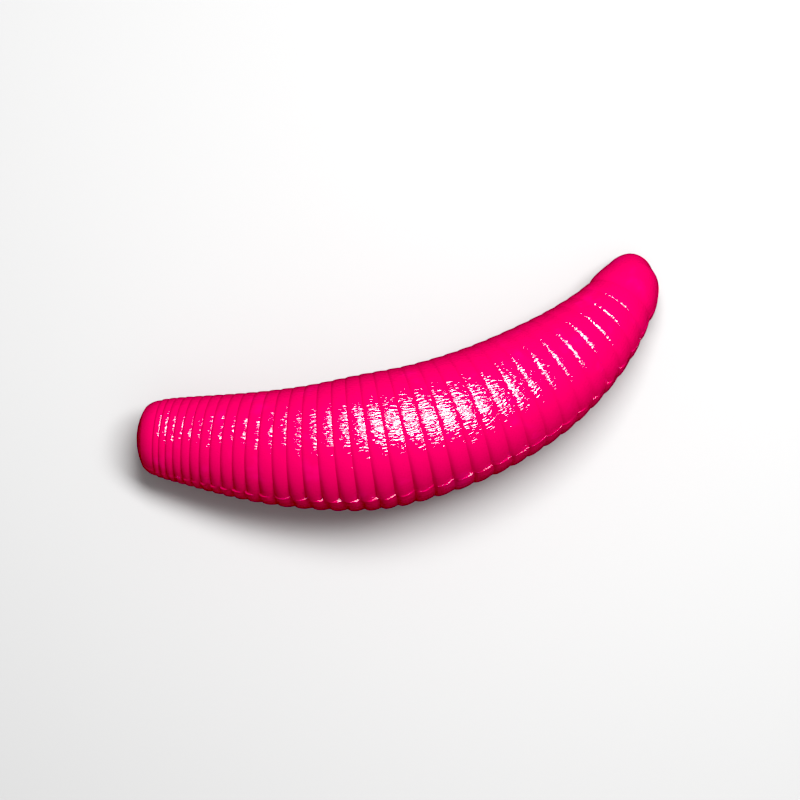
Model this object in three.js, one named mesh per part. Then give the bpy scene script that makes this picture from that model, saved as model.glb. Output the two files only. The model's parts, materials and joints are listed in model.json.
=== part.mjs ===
// Soft plastic grub for trout: a ringed, curved body moulded in one piece from soft plastisol.
// The soft body bends along its whole length, so it is modelled as bands of rings, each in its own
// mesh, that flex against their neighbours at evenly spaced cross-sections.
//
// Millimetres, +Z up. The grub lies on its side on the surface z = 0, resting on its belly and both
// ends. +X runs from the rear end to the head, and the hollow of the curve faces +Y. The origin is on
// the surface, under the middle of the body's box.

import * as THREE from 'three';

const DEG = Math.PI / 180;
const X_AXIS = new THREE.Vector3(1, 0, 0);
const Y_AXIS = new THREE.Vector3(0, 1, 0);
const Z_AXIS = new THREE.Vector3(0, 0, 1);

// Lengths along the centreline
const REAR_CAP = 1.35;        // smooth dome behind the first groove
const HEAD_CAP = 3.1;         // smooth dome ahead of the last groove
const RING_COUNT = 35;
const FIRST_PITCH = 0.37;     // ring spacing at the rear
const LAST_PITCH = 1.1;       // ring spacing at the head

// Radius of the round section over the rings' crests
const REAR_RADIUS = 2.25;
const BELLY_RADIUS = 3.93;
const HEAD_RADIUS = 2.12;
const RADIUS_OUTLINE = [      // share of the ringed length, radius there
  [0, REAR_RADIUS],
  [0.025, 2.41],
  [0.135, 2.93],
  [0.275, 3.52],
  [0.405, BELLY_RADIUS],
  [0.525, 3.87],
  [0.64, 3.7],
  [0.77, 3.36],
  [0.89, 2.79],
  [1, HEAD_RADIUS],
];
const GROOVE_DEPTH = 0.14;

// Curve of the body, as the centreline's heading at either end compared with the middle
const EVEN_BEND = 44 * DEG;   // the even bend's share
const BEND_EASE = 3 * DEG;    // by which the bend slackens towards both ends
const END_CURL = 20 * DEG;    // turned towards the hollow side at the head, and back at the rear

// Flexing
const FLEX_COUNT = 14;        // cross-sections where one band flexes against the next
const FLEX_LIMIT = 12 * DEG;  // bend at each of them, either way
const FLEX_GAP = 0.3;         // between two bands at the centreline

const SETTLE = 0.25;          // how far the soft body flattens where it lies
const SIDES = 24;             // facets round the section
const DOME_STEPS = 4;         // facets along an end dome, from its pole to its edge
const CURVE_STEPS = 80;       // chords along the centreline
const STEEPEST = 45 * DEG;    // limit of the search for the resting attitude
const HALVINGS = 24;          // steps of each such search

const PINK = 0xff0076;

const ringedLength = RING_COUNT * (FIRST_PITCH + (LAST_PITCH - FIRST_PITCH) * 2 / 3);
const bodyLength = REAR_CAP + ringedLength + HEAD_CAP;

// Station of a groove, counted from the rear; half numbers are the crests between two grooves.
function grooveStation(count) {
  const share = count / RING_COUNT;
  const widening = share ** 2 - share ** 3 / 3;
  return REAR_CAP + RING_COUNT * (FIRST_PITCH * share + (LAST_PITCH - FIRST_PITCH) * widening);
}

// Station where one band flexes against the next.
function flexStation(index) {
  return REAR_CAP + ringedLength * (index + 0.5) / FLEX_COUNT;
}

function heading(station) {
  const fromMiddle = 2 * station / bodyLength - 1;
  return EVEN_BEND * fromMiddle - BEND_EASE * fromMiddle ** 3 + END_CURL * fromMiddle ** 4;
}

// The centreline in the plane of the curve, turned so that both tips lie on the X axis.
function flatCentreline() {
  const points = [new THREE.Vector3()];
  const step = bodyLength / CURVE_STEPS;
  for (let i = 0; i < CURVE_STEPS; i++) {
    const angle = heading((i + 0.5) * step);
    const chord = new THREE.Vector3(Math.cos(angle), Math.sin(angle), 0).multiplyScalar(step);
    points.push(points[i].clone().add(chord));
  }
  const tip = points[CURVE_STEPS];
  const turn = -Math.atan2(tip.y, tip.x);
  return points.map((point) => point.applyAxisAngle(Z_AXIS, turn));
}

const radiusCurve = new THREE.SplineCurve(RADIUS_OUTLINE.map(([share, radius]) => new THREE.Vector2(share, radius)));

// The value between low and high up to which `below` holds.
function boundary(low, high, below) {
  for (let i = 0; i < HALVINGS; i++) {
    const middle = (low + high) / 2;
    if (below(middle)) low = middle;
    else high = middle;
  }
  return low;
}

// Radius over the crests at a station; a dome keeps the radius of its edge.
function crestRadius(station) {
  const share = THREE.MathUtils.clamp((station - REAR_CAP) / ringedLength, 0, 1);
  return radiusCurve.getPoint(boundary(0, 1, (at) => radiusCurve.getPoint(at).x < share)).y;
}

// Lying on its side, the body is rolled towards its hollow side and pitched a little, so that the
// belly and both ends touch the surface together.
function attitude(roll, pitch) {
  const rolled = new THREE.Quaternion().setFromAxisAngle(X_AXIS, -roll);
  return new THREE.Quaternion().setFromAxisAngle(Y_AXIS, pitch).multiply(rolled);
}

const flatPoints = flatCentreline();
const pointRadii = flatPoints.map((_, i) => crestRadius(i / CURVE_STEPS * bodyLength));
const firstOnRings = Math.round(REAR_CAP / bodyLength * CURVE_STEPS);
const lastOnRings = CURVE_STEPS - Math.round(HEAD_CAP / bodyLength * CURVE_STEPS);
const rearThird = [firstOnRings, Math.round(CURVE_STEPS / 3)];
const belly = [rearThird[1], CURVE_STEPS - rearThird[1]];
const headThird = [belly[1], lastOnRings];

// Height of the lowest part of the underside between two points of the centreline.
function lowest(turn, [from, to]) {
  const heights = flatPoints.slice(from, to + 1).map(
    (point, i) => point.clone().applyQuaternion(turn).z - pointRadii[from + i]);
  return Math.min(...heights);
}

function levelPitch(roll) {
  const rearIsLow = (pitch) => lowest(attitude(roll, -pitch), rearThird) > lowest(attitude(roll, -pitch), headThird);
  return -boundary(-STEEPEST, STEEPEST, rearIsLow);
}

const bellyIsLow = (roll) => lowest(attitude(roll, levelPitch(roll)), rearThird) > lowest(attitude(roll, levelPitch(roll)), belly);
const roll = boundary(0, STEEPEST, bellyIsLow);
const lying = attitude(roll, levelPitch(roll));
const lift = -lowest(lying, belly) - SETTLE;
const centreline = new THREE.CatmullRomCurve3(flatPoints.map(
  (point) => point.clone().applyQuaternion(lying).addScaledVector(Z_AXIS, lift)));
centreline.arcLengthDivisions = 20 * CURVE_STEPS;
const planeNormal = Z_AXIS.clone().applyQuaternion(lying);

// Position and directions of the section at a station.
function sectionAt(station) {
  const share = THREE.MathUtils.clamp(station / bodyLength, 0, 1);
  const along = centreline.getTangentAt(share);
  const across = Z_AXIS.clone().cross(along).normalize();
  return { centre: centreline.getPointAt(share), along, across, up: along.clone().cross(across) };
}

// What would sink below the surface is flattened onto it.
function settled(point) {
  return point.setZ(Math.max(point.z, 0));
}

// One loop of points round a section. `setBack` gives how far each lies behind the section's plane.
function loop({ centre, along, across, up }, radius, setBack = () => 0) {
  const points = [];
  for (let i = 0; i < SIDES; i++) {
    const angle = i / SIDES * 2 * Math.PI;
    const spoke = across.clone().multiplyScalar(Math.cos(angle)).addScaledVector(up, Math.sin(angle));
    const point = centre.clone().addScaledVector(spoke, radius);
    points.push(settled(point.addScaledVector(along, -setBack(spoke))));
  }
  return points;
}

// A closed solid through loops of equal count, from the point `start` to the point `end`.
function loft(start, loops, end) {
  const points = [start, ...loops.flat(), end];
  const last = points.length - 1;
  const triangles = [];
  const at = (row, side) => 1 + row * SIDES + side % SIDES;
  for (let side = 0; side < SIDES; side++) {
    triangles.push(0, at(0, side + 1), at(0, side));
    for (let row = 0; row < loops.length - 1; row++) {
      triangles.push(at(row, side), at(row, side + 1), at(row + 1, side + 1));
      triangles.push(at(row, side), at(row + 1, side + 1), at(row + 1, side));
    }
    triangles.push(last, at(loops.length - 1, side), at(loops.length - 1, side + 1));
  }
  const geometry = new THREE.BufferGeometry().setFromPoints(points);
  geometry.setIndex(triangles);
  geometry.computeVertexNormals();
  return geometry;
}

// The axis that the bands flex about at a section: across the plane of the curve, so that the body
// curls, or along that plane, so that it lifts. The two kinds take turns along the body.
function flexAxis(index, along) {
  return index % 2 === 0 ? planeNormal.clone() : planeNormal.clone().cross(along).normalize();
}

// The end of a band at a flexing section: a wedge with its ridge along the flexing axis, so that the
// band beside it can tilt by FLEX_LIMIT either way before the two touch. `facing` is 1 at a band's
// front end and -1 at its back.
function flexEnd(index, facing) {
  const station = flexStation(index);
  const section = sectionAt(station);
  const axis = flexAxis(index, section.along);
  const radius = crestRadius(station) - GROOVE_DEPTH;
  const slope = Math.tan(FLEX_LIMIT / 2);
  const setBack = (spoke) => facing * (FLEX_GAP / 2 + radius * spoke.clone().cross(axis).length() * slope);
  const apex = section.centre.clone().addScaledVector(section.along, -facing * FLEX_GAP / 2);
  return { apex, rim: loop(section, radius, setBack), edge: station - facing * (FLEX_GAP / 2 + radius * slope) };
}

// Loops over the grooves and crests between two stations.
function ringLoops(from, to) {
  const loops = [];
  const margin = FLEX_GAP / 2;
  for (let half = 0; half <= 2 * RING_COUNT; half++) {
    const station = grooveStation(half / 2);
    if (station < from + margin || station > to - margin) continue;
    const depth = half % 2 === 0 ? GROOVE_DEPTH : 0;
    loops.push(loop(sectionAt(station), crestRadius(station) - depth));
  }
  return loops;
}

// Loops over an end dome, pole first. `facing` is 1 at the head and -1 at the rear.
function domeLoops(length, radius, facing) {
  const edge = facing > 0 ? bodyLength - length : length;
  const loops = [];
  for (let step = 1; step < DOME_STEPS; step++) {
    const angle = step / DOME_STEPS * Math.PI / 2;
    const station = edge + facing * length * Math.cos(angle);
    loops.push(loop(sectionAt(station), radius * Math.sin(angle)));
  }
  return loops;
}

function rearEnd(frontFlex) {
  const front = flexEnd(frontFlex, 1);
  const dome = domeLoops(REAR_CAP, REAR_RADIUS, -1);
  return loft(sectionAt(0).centre, [...dome, ...ringLoops(0, front.edge), front.rim], front.apex);
}

function band(backFlex, frontFlex) {
  const back = flexEnd(backFlex, -1);
  const front = flexEnd(frontFlex, 1);
  return loft(back.apex, [back.rim, ...ringLoops(back.edge, front.edge), front.rim], front.apex);
}

function headEnd(backFlex) {
  const back = flexEnd(backFlex, -1);
  const dome = domeLoops(HEAD_CAP, HEAD_RADIUS, 1).reverse();
  return loft(back.apex, [back.rim, ...ringLoops(back.edge, bodyLength), ...dome], sectionAt(bodyLength).centre);
}

const plastisol = new THREE.MeshStandardMaterial({ color: PINK, roughness: 0.25, metalness: 0 });
const grub = new THREE.Group();

function addPiece(name, geometry) {
  const piece = new THREE.Mesh(geometry, plastisol.clone());
  piece.name = name;
  grub.add(piece);
}

addPiece('rear_end', rearEnd(0));
for (let i = 1; i < FLEX_COUNT; i++) {
  addPiece(`ring_band_${String(i).padStart(2, '0')}`, band(i - 1, i));
}
addPiece('head_end', headEnd(FLEX_COUNT - 1));

const box = new THREE.Box3().setFromObject(grub);
grub.position.set(-(box.min.x + box.max.x) / 2, -(box.min.y + box.max.y) / 2, 0);

export default grub;
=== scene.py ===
"""A soft plastic trout grub, moulded in one shot from fluorescent pink plastisol, lying on its side.

The body is modelled straight, as it would be turned on a lathe: rings and end domes along +X, with
the mould's parting line in the plane z = 0. It is then bent along its centreline, laid in place and
parted at its grooves into short sleeves, each of which spans one flexing section of the frame.
"""

import bisect
import json
import math

import bpy
from mathutils import Matrix, Vector


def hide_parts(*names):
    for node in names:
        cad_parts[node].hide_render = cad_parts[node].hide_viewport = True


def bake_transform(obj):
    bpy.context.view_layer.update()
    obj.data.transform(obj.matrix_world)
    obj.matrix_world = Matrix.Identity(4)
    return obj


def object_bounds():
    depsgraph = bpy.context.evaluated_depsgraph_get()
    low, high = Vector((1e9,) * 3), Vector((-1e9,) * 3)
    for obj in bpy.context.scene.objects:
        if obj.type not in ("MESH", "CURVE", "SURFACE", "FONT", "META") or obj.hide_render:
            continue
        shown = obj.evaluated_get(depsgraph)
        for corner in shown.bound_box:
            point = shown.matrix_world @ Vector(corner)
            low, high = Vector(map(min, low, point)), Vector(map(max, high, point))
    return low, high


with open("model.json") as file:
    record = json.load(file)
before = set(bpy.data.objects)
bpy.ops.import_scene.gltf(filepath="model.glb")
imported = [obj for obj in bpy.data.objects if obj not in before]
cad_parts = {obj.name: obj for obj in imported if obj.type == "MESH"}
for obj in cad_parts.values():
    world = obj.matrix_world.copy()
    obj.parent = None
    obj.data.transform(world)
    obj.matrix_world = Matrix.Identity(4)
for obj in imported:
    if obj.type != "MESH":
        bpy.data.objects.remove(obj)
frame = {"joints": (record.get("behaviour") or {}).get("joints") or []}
cad_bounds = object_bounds()

MM = 0.001

# Lengths along the centreline, in millimetres, counted from the rear tip
REAR_CAP = 1.35
HEAD_CAP = 3.1
RING_COUNT = 35
FIRST_PITCH = 0.37
LAST_PITCH = 1.1
RINGED_LENGTH = RING_COUNT * (FIRST_PITCH + (LAST_PITCH - FIRST_PITCH) * 2 / 3)
BODY_LENGTH = REAR_CAP + RINGED_LENGTH + HEAD_CAP

# Radius over the rings' crests: share of the ringed length, millimetres
RADIUS_OUTLINE = [
    (0, 2.25),
    (0.025, 2.41),
    (0.135, 2.93),
    (0.275, 3.52),
    (0.405, 3.93),
    (0.525, 3.87),
    (0.64, 3.7),
    (0.77, 3.36),
    (0.89, 2.79),
    (1, 2.12),
]

# Curve of the body: the centreline's heading at either end compared with the middle
EVEN_BEND = math.radians(44)
BEND_EASE = math.radians(3)
END_CURL = math.radians(20)
CURVE_STEPS = 240

# Rings: a short steep rise out of each groove, then a long slope into the next one. The lists give
# the share of the ringed length, and a depth in millimetres. A phase is a share of one ring's width.
ROUND = 96                  # steps round the section
RING_PHASES = (0, 0.06, 0.13, 0.22, 0.38, 0.54, 0.68, 0.81, 0.92)
CREST_PHASE = 0.22
GROOVE_DEPTHS = [(0, 0.065), (0.4, 0.07), (1, 0.06)]
RISE_POWER = 1.8
SLOPE_POWER = 2.3
BELLY_STRETCH = [(0, 0.04), (0.3, 0.16), (0.5, 0.17), (0.68, 0.06), (1, 0.03)]
BELLY_CREST_PHASE = 0.42
BELLY_POWER = 2
BELLY_KEEP = 6              # the higher, the closer the stretch keeps to the belly's outline
HOLLOW_SQUEEZE = 0.04       # by which the grooves close on the hollow side
HOLLOW_KEEP = 2
HEAD_RIDGE = (1.9, 0.045)   # faint last ring on the head: where it ends, counted from the tip; height

# Parting line: the mould's lower half is a little larger than the upper one
LEDGE = 1.01                # its radius compared with the upper half's
LEDGE_FALL = 0.1            # how far the ledge dips, as a share of the first step round the section
LEDGE_ROUGHNESS = 0.02
# Places where the lower half's grooves are out of register: station, shift, reach either way
SLIPS = [(6.5, -0.18, 3.5), (11.5, 0.24, 4.0), (20.0, 0.14, 4.0), (27.0, -0.15, 4.0)]
IN_GROOVE = 0.1             # a row this near to a groove lies in it

# End buttons, left where the mould's end plugs met the body: height, radius
REAR_BUTTON = (0.5, 1.8)
HEAD_BUTTON = (0.14, 0.8)
WITNESS_LINE = 0.08         # depth of the line round a button
BUTTON_STEPS = 6
SHOULDER_STEPS = 14

# Lean of the head's button towards the outside of the curve
HEAD_SLANT = math.radians(18)
SLANT_SIDE = 0.3            # distance of its pivot from the axis
SLANT_SHIFT = 0.14          # how far it then moves sideways
SLANT_REACH = 1.3           # how far the skin round it goes along with both

CREASE = math.radians(28)   # sharper edges than this are shaded as edges
TINY = 1e-7                 # metres

# Skin. The real scratches lie closer together and are shallower; these are as coarse and as deep as
# they need to be to show.
SCRATCH_SPACING = 0.09
SCRATCH_DEPTH = 0.045
SCRATCH_STRETCH = (0.3, 1, 1)       # longer along the body than round it
PATCH_SIZE = 1.6            # paler patches, where the pigment is thinner
PATCH_EDGES = (0.55, 0.75)  # level of the noise where a patch starts, and where it is at its palest
PINK = "#C40055"
PALE_PINK = "#CB1C61"

# Studio, in metres
FLOOR_SIZE = 1.2
PAPER_GREY = "#B0B0B0"
ROOM_GREY = "#9A9A9A"
CAMERA_DISTANCE = 0.1778
CAMERA_AZIMUTH = math.radians(-31.26)
CAMERA_ELEVATION = math.radians(81.09)
CAMERA_ROLL = math.radians(11.3)
CAMERA_AIM = (-0.86, 0.47, 0)       # from the middle of the grub's box, in millimetres
FOCAL_LENGTH = 138.3        # millimetres
SENSOR_WIDTH = 36.0         # millimetres
BLACK_LEVEL = 0.03          # brightness that is shown as black


def between(points, at):
    """Straight interpolation through (x, y) points."""
    for (x0, y0), (x1, y1) in zip(points, points[1:]):
        if at <= x1:
            break
    return y0 + (y1 - y0) * (at - x0) / (x1 - x0)


def smoothly_between(points, at):
    """Smooth curve through (x, y) points."""
    last = len(points) - 2
    i = 0
    while i < last and at > points[i + 1][0]:
        i += 1
    (x0, y0), (x1, y1) = points[i], points[i + 1]
    before = points[max(i - 1, 0)]
    after = points[min(i + 2, last + 1)]
    slope0 = (y1 - before[1]) / (x1 - before[0])
    slope1 = (after[1] - y0) / (after[0] - x0)
    span = x1 - x0
    t = (at - x0) / span
    level = (2 * t**3 - 3 * t**2 + 1) * y0 + (3 * t**2 - 2 * t**3) * y1
    lean = (t**3 - 2 * t**2 + t) * slope0 + (t**3 - t**2) * slope1
    return level + span * lean


def groove_station(count):
    """Distance of a groove from the rear tip."""
    share = count / RING_COUNT
    widening = share**2 - share**3 / 3
    return REAR_CAP + RING_COUNT * (FIRST_PITCH * share + (LAST_PITCH - FIRST_PITCH) * widening)


def ringed_share(station):
    """Share of the ringed length that lies behind a station."""
    return min(max((station - REAR_CAP) / RINGED_LENGTH, 0), 1)


def crest_radius(station):
    """Radius over the rings' crests."""
    return smoothly_between(RADIUS_OUTLINE, ringed_share(station))


def groove_radius(station):
    """Radius at the bottom of the grooves."""
    return crest_radius(station) - between(GROOVE_DEPTHS, ringed_share(station))


def dip(phase):
    """Depth across a ring, from 1 in a groove to 0 on the crest."""
    if phase < CREST_PHASE:
        return ((CREST_PHASE - phase) / CREST_PHASE) ** RISE_POWER
    return ((phase - CREST_PHASE) / (1 - CREST_PHASE)) ** SLOPE_POWER


def belly_dip(phase):
    """The same along the belly, where the rings are evenly rounded."""
    if phase < BELLY_CREST_PHASE:
        return ((BELLY_CREST_PHASE - phase) / BELLY_CREST_PHASE) ** BELLY_POWER
    return ((phase - BELLY_CREST_PHASE) / (1 - BELLY_CREST_PHASE)) ** BELLY_POWER


def ring_rows(ring):
    """(station, radius) rows from one groove up to, but not including, the next."""
    start = groove_station(ring)
    pitch = groove_station(ring + 1) - start
    rows = []
    for phase in RING_PHASES:
        station = start + pitch * phase
        crest = crest_radius(station)
        rows.append((station, crest - (crest - groove_radius(station)) * dip(phase)))
    return rows


def end_rows(length, edge_radius, button):
    """(distance from the tip, radius) rows of an end: a shallow button, then a rounded shoulder."""
    height, rim = button
    ball = (rim**2 + height**2) / (2 * height)
    rows = []
    for step in range(1, BUTTON_STEPS + 1):
        angle = math.asin(rim / ball) * step / BUTTON_STEPS
        rows.append((ball * (1 - math.cos(angle)), ball * math.sin(angle)))
    rows.append((height + WITNESS_LINE / 2, rim - WITNESS_LINE))
    rim_angle = math.asin(rim / edge_radius)
    for step in range(1, SHOULDER_STEPS):
        angle = rim_angle + (math.pi / 2 - rim_angle) * step / SHOULDER_STEPS
        distance = height + (length - height) * (1 - math.cos(angle) / math.cos(rim_angle))
        rows.append((distance, edge_radius * math.sin(angle)))
    return rows


def body_rows():
    """(station, radius) rows of the straight body, from just ahead of the rear pole to the head's."""
    rows = end_rows(REAR_CAP, groove_radius(REAR_CAP), REAR_BUTTON)
    for ring in range(RING_COUNT):
        rows += ring_rows(ring)
    head_edge = BODY_LENGTH - HEAD_CAP
    rows.append((head_edge, groove_radius(head_edge)))
    ridge_end, ridge_height = HEAD_RIDGE
    for distance, radius in reversed(end_rows(HEAD_CAP, groove_radius(head_edge), HEAD_BUTTON)):
        if distance > ridge_end:
            radius += ridge_height * (1 - dip((HEAD_CAP - distance) / (HEAD_CAP - ridge_end)))
        rows.append((BODY_LENGTH - distance, radius))
    return rows


def heading(station):
    """Direction of the centreline, as an angle in the plane of the curve."""
    from_middle = 2 * station / BODY_LENGTH - 1
    return EVEN_BEND * from_middle - BEND_EASE * from_middle**3 + END_CURL * from_middle**4


def flat_centreline():
    """Points of the bent centreline in the plane of the curve, in metres, from the rear tip."""
    points = [Vector((0, 0, 0))]
    step = BODY_LENGTH / CURVE_STEPS
    for i in range(CURVE_STEPS):
        angle = heading((i + 0.5) * step)
        points.append(points[-1] + Vector((math.cos(angle), math.sin(angle), 0)) * step * MM)
    return points


def point_on(points, station):
    """Point of the centreline at a station."""
    place = station / BODY_LENGTH * CURVE_STEPS
    i = min(int(place), CURVE_STEPS - 1)
    return points[i].lerp(points[i + 1], place - i)


def edit(piece):
    """Makes a piece the only one selected and opens it for editing."""
    bpy.ops.object.select_all(action="DESELECT")
    piece.select_set(True)
    bpy.context.view_layer.objects.active = piece
    bpy.ops.object.mode_set(mode="EDIT")
    bpy.ops.mesh.select_mode(type="VERT")


def leave():
    """Ends editing."""
    bpy.ops.object.mode_set(mode="OBJECT")


def select_where(piece, wanted):
    """While a piece is open for editing, selects only the vertices whose place `wanted` accepts."""
    bpy.ops.mesh.select_all(action="DESELECT")
    bpy.ops.object.mode_set(mode="OBJECT")
    for vertex in piece.data.vertices:
        vertex.select = wanted(vertex.co)
    bpy.ops.object.mode_set(mode="EDIT")


def close_end(place):
    """Draws the selected loop of vertices in to a pole."""
    bpy.ops.mesh.extrude_region_move(TRANSFORM_OT_translate={"value": (0, 0, 0)})
    bpy.ops.mesh.merge(type="CENTER")
    bpy.ops.transform.translate(value=place)


def slant_head(body):
    """Leans the head's button, and the shoulder next to it, towards the outside of the curve."""
    rim = (BODY_LENGTH - HEAD_BUTTON[0]) * MM
    select_where(body, lambda co: co.x > rim - TINY)
    bpy.ops.transform.rotate(value=HEAD_SLANT, orient_axis="Z",
                             center_override=(rim, -SLANT_SIDE * MM, 0), use_proportional_edit=True,
                             proportional_edit_falloff="SMOOTH", proportional_size=SLANT_REACH * MM)
    bpy.ops.transform.translate(value=(0, -SLANT_SHIFT * MM, 0), use_proportional_edit=True,
                                proportional_edit_falloff="SMOOTH", proportional_size=SLANT_REACH * MM)


def straight_body():
    """The whole body along +X: a loop of points drawn out, and scaled, from row to row."""
    rows = body_rows()
    first_station, first_radius = rows[0]
    bpy.ops.object.select_all(action="DESELECT")
    bpy.ops.mesh.primitive_circle_add(vertices=ROUND, radius=first_radius * MM, fill_type="NOTHING",
                                      location=(first_station * MM, 0, 0), rotation=(0, math.pi / 2, 0))
    body = bpy.context.object
    body.name = "straight_body"
    bpy.ops.object.transform_apply(location=True, rotation=True, scale=True)
    edit(body)
    bpy.ops.mesh.select_all(action="SELECT")
    for (station, radius), (next_station, next_radius) in zip(rows, rows[1:]):
        step = (next_station - station) * MM
        grow = next_radius / radius
        bpy.ops.mesh.extrude_region_move(TRANSFORM_OT_translate={"value": (step, 0, 0)})
        bpy.ops.transform.resize(value=(1, grow, grow), center_override=(next_station * MM, 0, 0))
    close_end(((BODY_LENGTH - rows[-1][0]) * MM, 0, 0))
    select_where(body, lambda co: abs(co.x - first_station * MM) < TINY)
    close_end((-first_station * MM, 0, 0))
    slant_head(body)
    bpy.ops.mesh.select_all(action="SELECT")
    bpy.ops.mesh.normals_make_consistent(inside=False)
    leave()
    return body


def sleeve_cuts():
    """Stations where the sleeves meet: the groove nearest the middle between two flexing sections."""
    spacing = RINGED_LENGTH / len(frame["joints"])
    grooves = [groove_station(count) for count in range(RING_COUNT + 1)]
    cuts = []
    for i in range(1, len(frame["joints"])):
        middle = REAR_CAP + spacing * i
        cuts.append(min(grooves, key=lambda station: abs(station - middle)))
    return cuts


def mark_sleeves(body, cuts):
    """Gives each sleeve's faces a slot of their own, by which they are separated later."""
    for i in range(len(cuts) + 1):
        body.data.materials.append(bpy.data.materials.new(f"sleeve_{i + 1:02d}"))
    for face in body.data.polygons:
        face.material_index = sum(face.center.x > cut * MM for cut in cuts)


def note_straight_place(body):
    """Keeps each point's place on the straight body, for patterns that follow the moulded skin."""
    place = body.data.attributes.new("moulded_place", "FLOAT_VECTOR", "POINT")
    for vertex, kept in zip(body.data.vertices, place.data):
        kept.vector = vertex.co


def work_grooves(body):
    """Opens the grooves along the belly, and closes those on the hollow side, as the curve does."""
    grooves = [groove_station(count) * MM for count in range(RING_COUNT + 1)]
    deepest = max(depth for _, depth in BELLY_STRETCH)
    group = body.vertex_groups.new(name="worked_grooves")
    for vertex in body.data.vertices:
        x, y, z = vertex.co
        if not grooves[0] <= x <= grooves[-1]:
            continue
        ring = min(max(bisect.bisect(grooves, x + TINY) - 1, 0), RING_COUNT - 1)
        phase = min((x - grooves[ring]) / (grooves[ring + 1] - grooves[ring]), 1)
        sideways = abs(y) / math.hypot(y, z)
        if y < 0:
            stretch = between(BELLY_STRETCH, ringed_share(x / MM))
            shift = belly_dip(phase) * sideways**BELLY_KEEP * stretch
        else:
            shift = dip(phase) * sideways**HOLLOW_KEEP * HOLLOW_SQUEEZE
        group.add([vertex.index], shift / deepest, "REPLACE")
    work = body.modifiers.new("worked_grooves", "DISPLACE")
    work.vertex_group = group.name
    work.direction = "Y"
    work.mid_level = 0
    work.strength = deepest * MM
    bpy.context.view_layer.objects.active = body
    bpy.ops.object.modifier_apply(modifier="worked_grooves")


def offset_lower_half(body):
    """Steps the lower half out from the parting line, and slips its grooves out of register."""
    grooves = [groove_station(count) * MM for count in range(RING_COUNT + 1)]
    first_step = math.sin(2.2 * math.pi / ROUND)     # a tenth more than one step round the section

    def is_lower(co):
        return co.z < -TINY

    def on_ledge(co):
        return is_lower(co) and -co.z < first_step * abs(co.y)

    edit(body)
    select_where(body, is_lower)
    bpy.ops.transform.resize(value=(1, LEDGE, LEDGE), center_override=(0, 0, 0))
    select_where(body, on_ledge)
    bpy.ops.transform.resize(value=(1, 1, LEDGE_FALL), center_override=(0, 0, 0))
    bpy.ops.transform.vertex_random(offset=LEDGE_ROUGHNESS * MM, seed=1)
    select_where(body, lambda co: not is_lower(co))
    bpy.ops.mesh.hide(unselected=False)
    for station, slip, reach in SLIPS:
        nearest = min(grooves, key=lambda groove: abs(groove - station * MM))
        select_where(body, lambda co: is_lower(co) and abs(co.x - nearest) < IN_GROOVE * MM)
        bpy.ops.transform.translate(value=(slip * MM, 0, 0), use_proportional_edit=True,
                                    proportional_edit_falloff="SMOOTH", proportional_size=reach * MM)
    bpy.ops.mesh.reveal(select=False)
    leave()


def bend(body, points):
    """Bends the straight body along its centreline."""
    curve = bpy.data.curves.new("centreline", "CURVE")
    curve.dimensions = "3D"
    curve.twist_mode = "Z_UP"
    spline = curve.splines.new("POLY")
    spline.points.add(len(points) - 1)
    for point, control in zip(points, spline.points):
        control.co = (*point, 1)
    guide = bpy.data.objects.new("centreline", curve)
    bpy.context.scene.collection.objects.link(guide)
    bpy.ops.object.select_all(action="DESELECT")
    body.select_set(True)
    bpy.context.view_layer.objects.active = body
    modifier = body.modifiers.new("bend", "CURVE")
    modifier.object = guide
    modifier.deform_axis = "POS_X"
    bpy.ops.object.modifier_apply(modifier="bend")
    bpy.data.objects.remove(guide)
    bpy.data.curves.remove(curve)


def turned_to(along, normal):
    """Rotation that has its X along `along` and its Z along `normal`."""
    x = along.normalized()
    z = (normal - normal.dot(x) * x).normalized()
    return Matrix((x, z.cross(x), z)).transposed()


def lay_in_place(body, points, flex_stations):
    """Moves the bent body so that its centreline runs through the frame's own joints.

    Returns the move, which takes points of the flat centreline to their real places. Every curl joint
    turns about the normal of the plane of the curve.
    """
    joints = frame["joints"]
    flat_ends = [point_on(points, flex_stations[0]), point_on(points, flex_stations[-1])]
    real_ends = [Vector(joints[0]["pos_m"]), Vector(joints[-1]["pos_m"])]
    plane_normal = Vector(next(j["axis"] for j in joints if j["name"] == "curl_13"))
    flat_turn = turned_to(flat_ends[1] - flat_ends[0], Vector((0, 0, 1)))
    real_turn = turned_to(real_ends[1] - real_ends[0], plane_normal)
    turn = real_turn @ flat_turn.transposed()
    shift = real_ends[0] - turn @ flat_ends[0]
    move = Matrix.Translation(shift) @ turn.to_4x4()
    body.matrix_world = move
    bpy.ops.object.transform_apply(location=True, rotation=True, scale=True)
    return move


def settle(body):
    """Flattens the soft underside onto the surface it lies on."""
    edit(body)
    select_where(body, lambda co: co.z < 0)
    bpy.ops.transform.resize(value=(1, 1, 0), center_override=(0, 0, 0))
    leave()


def part_sleeves(body):
    """Separates the sleeves and closes the cut ends of each."""
    edit(body)
    bpy.ops.mesh.separate(type="MATERIAL")
    leave()
    pieces = sorted(bpy.context.selected_objects, key=lambda piece: piece.data.materials[0].name)
    for piece in pieces:
        edit(piece)
        bpy.ops.mesh.select_all(action="DESELECT")
        bpy.ops.mesh.select_non_manifold()
        bpy.ops.mesh.fill_holes(sides=0)
        bpy.ops.mesh.select_all(action="SELECT")
        bpy.ops.mesh.normals_make_consistent(inside=False)
        leave()
        bpy.ops.object.shade_smooth_by_angle(angle=CREASE)
    return pieces


def linear(hex_colour):
    """Linear colour of an sRGB hex value."""
    channels = [int(hex_colour[i:i + 2], 16) / 255 for i in (1, 3, 5)]
    return [c / 12.92 if c <= 0.04045 else ((c + 0.055) / 1.055) ** 2.4 for c in channels] + [1]


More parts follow.
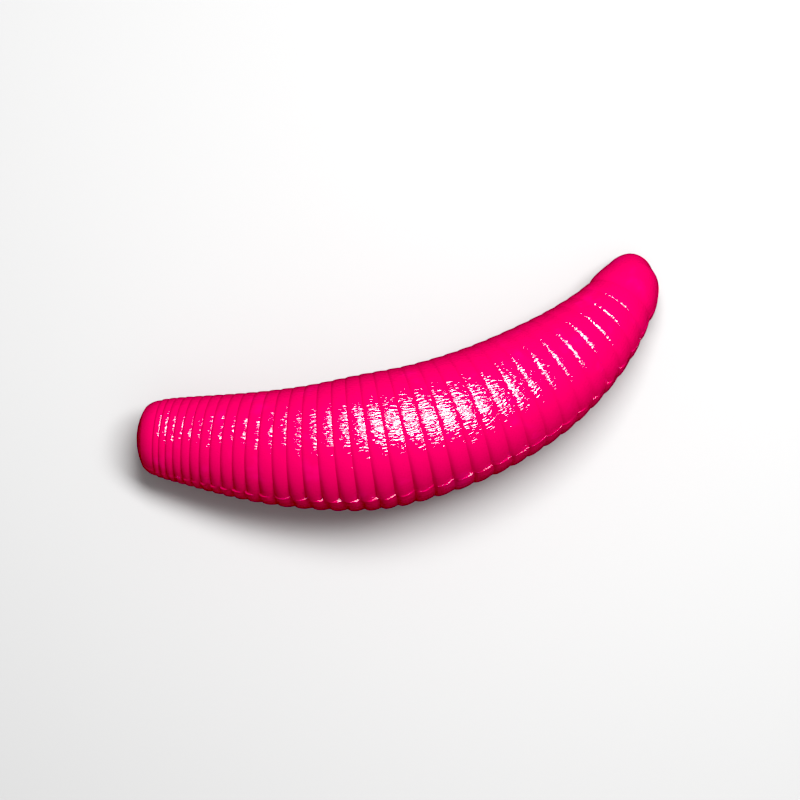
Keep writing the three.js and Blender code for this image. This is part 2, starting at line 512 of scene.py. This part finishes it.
def add_node(tree, kind, settings=None, **links):
    """Adds a node, sets its properties and sockets, and links sockets given another node's output."""
    node = tree.nodes.new(kind)
    for name, value in (settings or {}).items():
        setattr(node, name, value)
    for name, value in links.items():
        socket = node.inputs[name.replace("_", " ")]
        if isinstance(value, bpy.types.NodeSocket):
            tree.links.new(value, socket)
        else:
            socket.default_value = value
    return node


def new_material(name):
    """An empty material, and its node tree."""
    material = bpy.data.materials.new(name)
    material.use_nodes = True
    material.node_tree.nodes.clear()
    return material, material.node_tree


def moulded_plastisol():
    """Soft plastisol (plasticised PVC) with a daylight-fluorescent pink pigment, moulded hot.

    It gives a very clean pink under a wet gloss, which the scratches of the hand-cut mould break up.
    The coat is the film of oil on the skin. All the gloss comes from it, and so do the scratches, which
    therefore show in the highlights and leave the pink even.
    """
    material, tree = new_material("moulded_fluorescent_plastisol")
    place = add_node(tree, "ShaderNodeAttribute", {"attribute_name": "moulded_place"})
    along = add_node(tree, "ShaderNodeMapping", Vector=place.outputs["Vector"], Scale=SCRATCH_STRETCH)
    grain = add_node(tree, "ShaderNodeTexNoise", Vector=along.outputs["Vector"],
                     Scale=1 / (SCRATCH_SPACING * MM), Detail=0.0)
    bump = add_node(tree, "ShaderNodeBump", Height=grain.outputs["Fac"], Strength=1.0,
                    Distance=SCRATCH_DEPTH * MM)
    cloud = add_node(tree, "ShaderNodeTexNoise", Vector=place.outputs["Vector"],
                     Scale=1 / (PATCH_SIZE * MM), Detail=3.0)
    patches = add_node(tree, "ShaderNodeMapRange", {"interpolation_type": "SMOOTHSTEP"},
                       Value=cloud.outputs["Fac"], From_Min=PATCH_EDGES[0], From_Max=PATCH_EDGES[1])
    colour = add_node(tree, "ShaderNodeMix", {"data_type": "RGBA"}, Factor=patches.outputs["Result"])
    # The Mix node has sockets of the same names for each kind of data; these are the colour ones.
    colour.inputs[6].default_value = linear(PINK)
    colour.inputs[7].default_value = linear(PALE_PINK)
    skin = add_node(tree, "ShaderNodeBsdfPrincipled", Roughness=0.5, Coat_Weight=1.0,
                    Coat_Roughness=0.06, Coat_IOR=1.7, Coat_Normal=bump.outputs["Normal"])
    tree.links.new(colour.outputs[2], skin.inputs["Base Color"])
    skin.inputs["Specular IOR Level"].default_value = 0.0
    add_node(tree, "ShaderNodeOutputMaterial", Surface=skin.outputs["BSDF"])
    return material


def studio_floor():
    """Matt paper, an even grey that shows nothing but a soft shadow."""
    material, tree = new_material("matt_paper")
    paper = add_node(tree, "ShaderNodeBsdfPrincipled", Roughness=0.9)
    paper.inputs["Base Color"].default_value = linear(PAPER_GREY)
    add_node(tree, "ShaderNodeOutputMaterial", Surface=paper.outputs["BSDF"])
    bpy.ops.object.select_all(action="DESELECT")
    bpy.ops.mesh.primitive_plane_add(size=FLOOR_SIZE)
    floor = bpy.context.object
    floor.name = "floor"
    floor.data.materials.append(material)
    floor.visible_glossy = False


def softbox(name, direction, distance, width, height, radiance):
    """A softbox that faces the grub; its power gives it that brightness whatever its size."""
    light = bpy.data.lights.new(name, "AREA")
    light.shape = "RECTANGLE"
    light.size = width
    light.size_y = height
    light.energy = radiance * math.pi * width * height
    box = bpy.data.objects.new(name, light)
    box.location = Vector(direction).normalized() * distance
    box.rotation_euler = Vector(direction).to_track_quat("Z", "Y").to_euler()
    bpy.context.scene.collection.objects.link(box)
    return box


def studio_light():
    """A small bright softbox, the only thing the gloss mirrors, a large dim one and a grey room."""
    softbox("key_softbox", direction=(0.24, 0.17, 0.92), distance=0.12, width=0.1, height=0.04,
            radiance=23.5)
    fill = softbox("fill_softbox", direction=(-0.1, -0.55, 0.8), distance=0.3, width=0.3, height=0.3,
                   radiance=0.7)
    fill.visible_glossy = False
    world = bpy.data.worlds.new("studio")
    world.use_nodes = True
    world.node_tree.nodes["Background"].inputs["Color"].default_value = linear(ROOM_GREY)
    world.node_tree.nodes["Background"].inputs["Strength"].default_value = 1.0
    world.cycles_visibility.glossy = False
    bpy.context.scene.world = world


def studio_camera():
    """Camera almost overhead, towards the rear end, turned a little about its own line of sight."""
    low, high = cad_bounds
    aim = (Vector(low) + Vector(high)) / 2 + Vector(CAMERA_AIM) * MM
    outwards = math.cos(CAMERA_ELEVATION)
    back = Vector((math.sin(CAMERA_AZIMUTH) * outwards, -math.cos(CAMERA_AZIMUTH) * outwards,
                   math.sin(CAMERA_ELEVATION)))
    level = Vector((0, 0, 1)).cross(back).normalized()
    right = Matrix.Rotation(CAMERA_ROLL, 3, back) @ level
    lens = bpy.data.cameras.new("camera")
    lens.lens = FOCAL_LENGTH
    lens.sensor_width = SENSOR_WIDTH
    lens.clip_start = 0.01
    lens.clip_end = 10
    camera = bpy.data.objects.new("camera", lens)
    turn = Matrix((right, back.cross(right), back)).transposed()
    camera.matrix_world = Matrix.Translation(aim + back * CAMERA_DISTANCE) @ turn.to_4x4()
    bpy.context.scene.collection.objects.link(camera)
    bpy.context.scene.camera = camera


def make_grub():
    """Makes the sleeves, each spanning the joint between two bodies of the frame, and hides those
    bodies.
    """
    joint_count = len(frame["joints"])
    bodies = ["rear_end"] + [f"ring_band_{i:02d}" for i in range(1, joint_count)] + ["head_end"]
    spacing = RINGED_LENGTH / joint_count
    flex_stations = [REAR_CAP + spacing * (i + 0.5) for i in range(joint_count)]
    points = flat_centreline()
    cuts = sleeve_cuts()
    body = straight_body()
    mark_sleeves(body, cuts)
    note_straight_place(body)
    work_grooves(body)
    offset_lower_half(body)
    bend(body, points)
    move = lay_in_place(body, points, flex_stations)
    settle(body)
    pieces = part_sleeves(body)
    for material in list(bpy.data.materials):
        if material.name.startswith("sleeve_"):
            bpy.data.materials.remove(material)
    skin = moulded_plastisol()
    for i, piece in enumerate(pieces):
        piece.name = f"soft_body_{i + 1:02d}"
        piece.data.materials.clear()
        piece.data.materials.append(skin)
        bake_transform(piece)
        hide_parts(bodies[i])
    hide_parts(bodies[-1])


make_grub()
studio_floor()
studio_light()
studio_camera()
view = bpy.context.scene.view_settings
view.view_transform = "Standard"
view.use_curve_mapping = True
view.curve_mapping.black_level = (BLACK_LEVEL, BLACK_LEVEL, BLACK_LEVEL)
view.curve_mapping.update()
